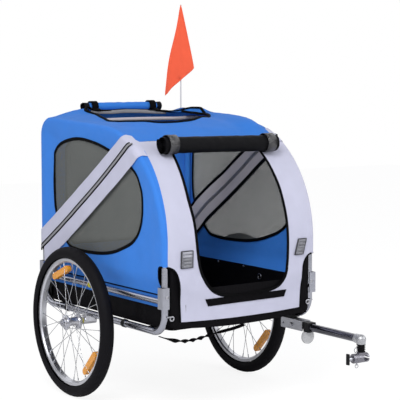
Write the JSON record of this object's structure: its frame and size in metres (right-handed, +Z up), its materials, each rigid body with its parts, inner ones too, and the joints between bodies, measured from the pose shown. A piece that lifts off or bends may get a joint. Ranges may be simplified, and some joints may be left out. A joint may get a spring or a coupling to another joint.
{
  "type": "dog bike trailer",
  "caption": "Two-wheeled bicycle trailer for a dog: folding hooped frame, soft cabin with rolled door and roof hatch, mesh windows, side tow arm with clamp hitch, pennant.",
  "frame": {"origin": "on the ground, at the middle of the box round the trailer", "axes": "+X towards the trailer's left side, -Y to the front (towards the bicycle), +Z up"},
  "size_m": [0.7758, 1.0609, 1.304],
  "materials": {
    "tyre_black": "matte",
    "rim_alloy": "satin",
    "spoke_steel": "bright",
    "hub_alloy": "satin",
    "axle_steel": "satin",
    "frame_silver": "satin silver powder coat",
    "zinc_steel": "zinc plated",
    "bushing_yellow": "matte",
    "clip_black": "matte",
    "tub_black": "coated polyester",
    "board_grey": "painted board",
    "cloth_blue": "coated polyester",
    "cloth_white": "coated polyester",
    "mesh_grey": "open mesh",
    "roll_black": "rolled mesh and film",
    "strap_clear": "webbing",
    "bar_grey": "satin",
    "reflector_amber": "prismatic",
    "reflector_clear": "prismatic",
    "arm_steel": "plated tube",
    "elbow_grey": "cast",
    "flex_rubber": "moulded",
    "clamp_alloy": "cast",
    "handle_black": "moulded",
    "flag_orange": "fluorescent",
    "pole_white": "glass fibre rod",
    "webbing_black": "woven"
  },
  "bodies": {
    "chassis": {"rail_right": "frame_silver", "mid_rail_right": "frame_silver", "cover_side_right": "cloth_blue", "window_mesh_right": "mesh_grey", "side_band_right": "cloth_white", "rail_left": "frame_silver", "mid_rail_left": "frame_silver", "cover_side_left": "cloth_blue", "window_mesh_left": "mesh_grey", "side_band_left": "cloth_white", "hinge_channels": "frame_silver", "hinge_rivets": "zinc_steel", "cross_tubes": "frame_silver", "axle_receivers": "zinc_steel", "axle_bushings": "bushing_yellow", "tub_eyes": "zinc_steel", "rail_clips": "clip_black", "lower_tub": "tub_black", "upper_lining": "tub_black", "floor_board": "board_grey", "cover_front": "cloth_white", "cover_back": "cloth_blue", "cover_roof": "cloth_blue", "roof_bars": "bar_grey", "door_roll": "roll_black", "hatch_roll": "cloth_blue", "roll_straps": "strap_clear", "front_reflectors": "reflector_clear", "hook_strip": "webbing_black", "tow_bracket": "zinc_steel", "tow_carrier": "clip_black", "tow_bolt": "zinc_steel", "flag_socket": "clip_black", "safety_strap": "webbing_black"},
    "hoop_right": {"side_hoop_right": "frame_silver"},
    "hoop_left": {"side_hoop_left": "frame_silver"},
    "axle_right": {"axle_right": "axle_steel"},
    "wheel_right": {"tyre_right": "tyre_black", "rim_right": "rim_alloy", "spokes_right": "spoke_steel", "hub_right": "hub_alloy", "wheel_reflectors_right": "reflector_amber"},
    "axle_left": {"axle_left": "axle_steel"},
    "wheel_left": {"tyre_left": "tyre_black", "rim_left": "rim_alloy", "spokes_left": "spoke_steel", "hub_left": "hub_alloy", "wheel_reflectors_left": "reflector_amber"},
    "tow_arm": {"tow_arm": "arm_steel", "arm_collar": "clip_black", "disc_reflector": "reflector_clear", "arm_elbow": "elbow_grey"},
    "hitch": {"flex_joint": "flex_rubber", "clamp_barrel": "clamp_alloy", "hitch_rings": "zinc_steel"},
    "clamp_pad": {"clamp_pad": "clamp_alloy"},
    "clamp_screw": {"clamp_screw": "zinc_steel", "clamp_handle": "handle_black"},
    "flag_staff": {"flag_pole": "pole_white", "flag": "flag_orange"}
  },
  "joints": [
    {"name": "left_fold", "type": "hinge", "parent": "chassis", "child": "hoop_left", "pos_m": [0.287, 0.21925, 0.386], "axis": [0, -1, 0], "range_deg": [0, 88], "deforming": ["cover_side_right", "cover_side_left", "window_mesh_right", "window_mesh_left", "side_band_right", "side_band_left", "cover_front", "cover_back", "cover_roof", "roof_bars", "door_roll", "hatch_roll", "roll_straps", "front_reflectors", "upper_lining", "hook_strip"]},
    {"name": "right_fold", "type": "hinge", "parent": "chassis", "child": "hoop_right", "pos_m": [-0.287, 0.21925, 0.386], "axis": [0, 1, 0], "range_deg": [0, 74]},
    {"name": "axle_right_pull", "type": "slide", "parent": "chassis", "child": "axle_right", "axis": [-1, 0, 0], "range_m": [0, 0.06]},
    {"name": "wheel_right_spin", "type": "hinge", "parent": "axle_right", "child": "wheel_right", "pos_m": [-0.3445, 0.21925, 0.247], "axis": [1, 0, 0], "continuous": true},
    {"name": "axle_left_pull", "type": "slide", "parent": "chassis", "child": "axle_left", "axis": [1, 0, 0], "range_m": [0, 0.06]},
    {"name": "wheel_left_spin", "type": "hinge", "parent": "axle_left", "child": "wheel_left", "pos_m": [0.3445, 0.21925, 0.247], "axis": [1, 0, 0], "continuous": true},
    {"name": "tow_arm_fold", "type": "hinge", "parent": "chassis", "child": "tow_arm", "pos_m": [0.268, -0.18475, 0.2385], "axis": [1, 0, 0], "range_deg": [0, 150]},
    {"name": "hitch_turn", "type": "hinge", "parent": "tow_arm", "child": "hitch", "pos_m": [0.268, -0.51575, 0.21], "axis": [0, 0, 1], "range_deg": [-90, 90]},
    {"name": "clamp_pad_slide", "type": "slide", "parent": "hitch", "child": "clamp_pad", "axis": [-1, 0, 0], "range_m": [0, 0.0075]},
    {"name": "clamp_screw_turn", "type": "hinge", "parent": "clamp_pad", "child": "clamp_screw", "pos_m": [0.24, -0.51575, 0.1806], "axis": [-1, 0, 0], "range_deg": [0, 1080]},
    {"name": "flag_lift", "type": "slide", "parent": "chassis", "child": "flag_staff", "axis": [0, 0, 1], "range_m": [0, 0.08]}
  ],
  "couplings": [
    {"joint": "right_fold", "follows": "left_fold", "ratio": 0.84},
    {"joint": "clamp_screw_turn", "follows": "clamp_pad_slide", "rad_per_m": 2513.3}
  ]
}
